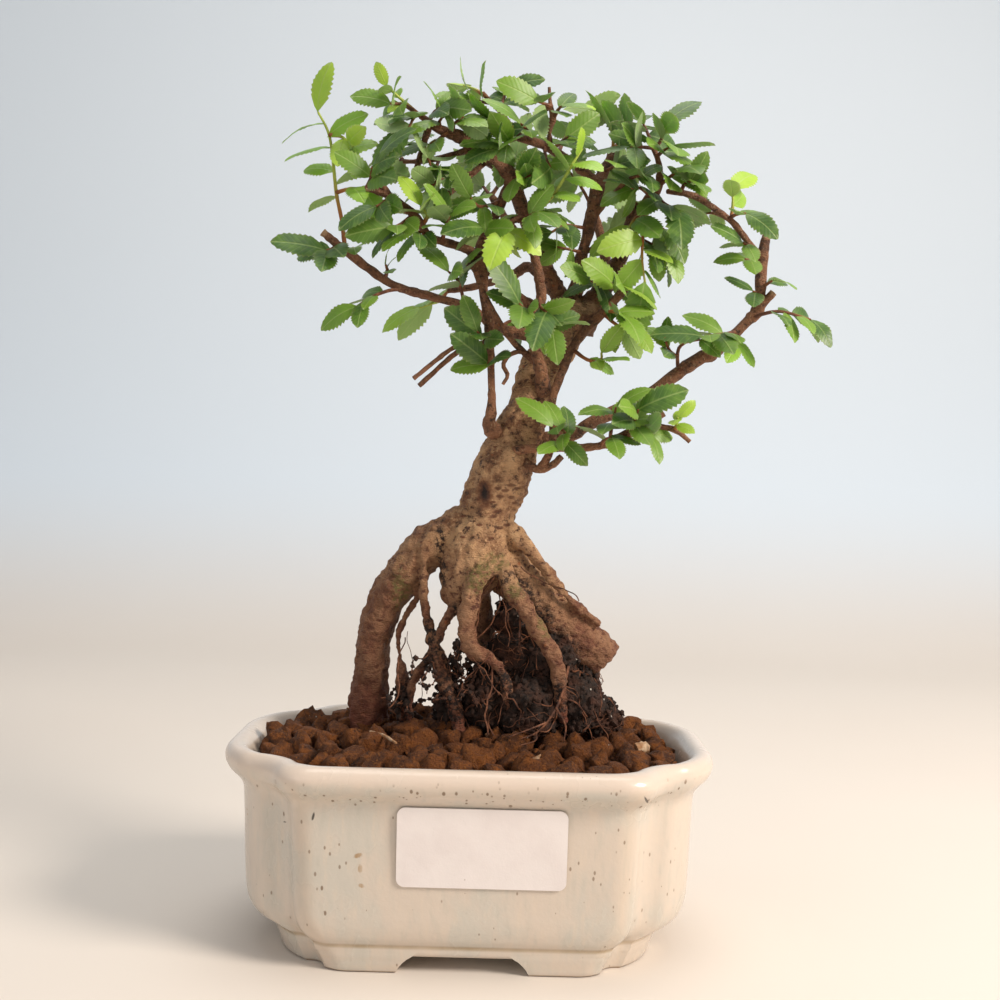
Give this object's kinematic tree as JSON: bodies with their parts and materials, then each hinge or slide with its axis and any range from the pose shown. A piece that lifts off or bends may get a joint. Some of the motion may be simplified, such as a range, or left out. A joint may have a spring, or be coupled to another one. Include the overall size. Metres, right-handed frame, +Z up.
{
  "type": "chinese elm bonsai",
  "caption": "Small Chinese elm bonsai with exposed roots over clay granules, leaning trunk and open leafy crown, in a glazed pot with indented corners.",
  "frame": {"origin": "centre of the bottom of the box round the whole plant and pot, at the level of the feet", "axes": "+Z up, +X along the pot's length to the right as seen from the side with the label, +Y towards the back"},
  "size_m": [0.1912, 0.1034, 0.2818],
  "materials": {
    "glaze": "semi-gloss cream glaze with small iron specks",
    "label_paper": "coated, blank",
    "net_plastic": "matte black",
    "clay_granules": "rough baked clay",
    "peaty_soil": "rough, damp",
    "bark": "rough bark",
    "leaf": "satin leaves"
  },
  "bodies": {
    "root": {"pot": "glaze", "label": "label_paper", "drain_net_left": "net_plastic", "drain_net_right": "net_plastic", "soil": "clay_granules", "old_root_soil": "peaty_soil", "tree": "bark", "spray_back_centre": "leaf", "spray_back_right": "leaf", "spray_beside_trunk": "leaf", "spray_centre_front": "leaf", "spray_centre_low": "leaf", "spray_centre_mid": "leaf", "spray_centre_mid_low": "leaf", "spray_centre_right": "leaf", "spray_centre_shade": "leaf", "spray_centre_upper": "leaf", "spray_centre_young": "leaf", "spray_far_right": "leaf", "spray_front_left_foot": "leaf", "spray_front_left_inner": "leaf", "spray_front_left_low": "leaf", "spray_front_left_mid": "leaf", "spray_front_left_top": "leaf", "spray_inner_left": "leaf", "spray_left": "leaf", "spray_left_mid": "leaf", "spray_left_under": "leaf", "spray_low_front": "leaf", "spray_low_right": "leaf", "spray_right": "leaf", "spray_right_knobbly": "leaf", "spray_right_low": "leaf", "spray_top": "leaf", "spray_top_left": "leaf", "spray_top_right": "leaf"}
  },
  "joints": []
}
